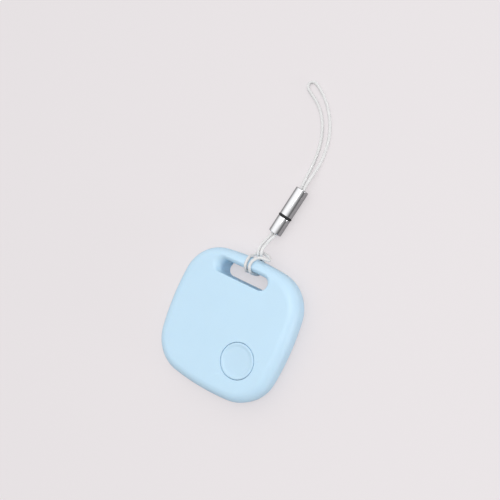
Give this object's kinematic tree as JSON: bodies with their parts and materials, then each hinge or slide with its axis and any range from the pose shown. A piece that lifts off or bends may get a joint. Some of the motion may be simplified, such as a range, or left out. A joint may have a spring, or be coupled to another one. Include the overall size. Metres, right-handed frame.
{
  "type": "bluetooth tracker tag",
  "caption": "Square tracker tag with rounded edges, a strap slot across one side, a round corner button and a clasped hand strap hitched round the slot's bar.",
  "frame": {"origin": "centre of the tag's flat back face", "axes": "+Z out of the front face, +Y towards the strap slot, +X to the right seen from the front"},
  "size_m": [0.042, 0.0959, 0.0089],
  "materials": {
    "shell_blue": "satin moulded plastic, fine texture",
    "button_blue": "satin moulded plastic",
    "seal_rubber": "soft black rubber",
    "frame_plastic": "natural moulded plastic",
    "board_green": "solder mask over copper",
    "chip_black": "moulded package",
    "nickel": "plated, semi-bright",
    "copper": "plated copper",
    "spring_gold": "gold-plated spring metal",
    "passive_tan": "fired body",
    "switch_white": "moulded",
    "cell_steel": "brushed nickel-plated steel",
    "buzzer_brass": "rolled sheet",
    "piezo_ceramic": "fired, matt",
    "tape_black": "foam adhesive ring",
    "screw_steel": "plated",
    "clasp_chrome": "polished",
    "cord_white": "thin smooth nylon cord"
  },
  "bodies": {
    "root": {"front_shell": "shell_blue", "inner_frame": "frame_plastic", "main_board": "board_green", "radio_chip": "chip_black", "clock_crystals": "nickel", "board_antenna": "copper", "board_passives": "passive_tan", "boost_inductor": "chip_black", "switch_housing": "chip_black", "switch_cover": "nickel", "switch_dome": "spring_gold", "positive_contact": "spring_gold", "negative_contact": "spring_gold", "buzzer_plate": "buzzer_brass", "buzzer_ceramic": "piezo_ceramic", "buzzer_tape": "tape_black", "buzzer_contacts": "spring_gold", "board_screws": "screw_steel", "hitch_cord": "cord_white", "lower_barrel": "clasp_chrome"},
    "button": {"button_cap": "button_blue"},
    "plunger": {"switch_plunger": "switch_white"},
    "cover": {"rear_cover": "shell_blue", "cover_seal": "seal_rubber"},
    "battery": {"battery_can": "cell_steel", "battery_cap": "cell_steel", "battery_gasket": "seal_rubber"},
    "strap": {"upper_barrel": "clasp_chrome", "clasp_plug": "clasp_chrome", "clasp_ring": "seal_rubber", "hand_loop": "cord_white"}
  },
  "joints": [
    {"name": "button_press", "type": "slide", "parent": "root", "child": "button", "axis": [0, 0, -1], "range_m": [0, 0.0002], "stiffness_N_per_m": 400},
    {"name": "switch_press", "type": "slide", "parent": "root", "child": "plunger", "axis": [0, 0, -1], "range_m": [0, 0.0002], "deforming": ["switch_dome"]},
    {"name": "cover_release", "type": "slide", "parent": "root", "child": "cover", "axis": [0, 0, -1], "range_m": [0, 0.024]},
    {"name": "battery_release", "type": "slide", "parent": "root", "child": "battery", "axis": [0, 0, -1], "range_m": [0, 0.012]},
    {"name": "clasp_pull", "type": "slide", "parent": "root", "child": "strap", "axis": [0.1908, 0.9816, 0], "range_m": [0, 0.006]}
  ],
  "couplings": [
    {"joint": "switch_press", "follows": "button_press", "ratio": 1},
    {"joint": "battery_release", "follows": "cover_release", "ratio": 0.5}
  ]
}
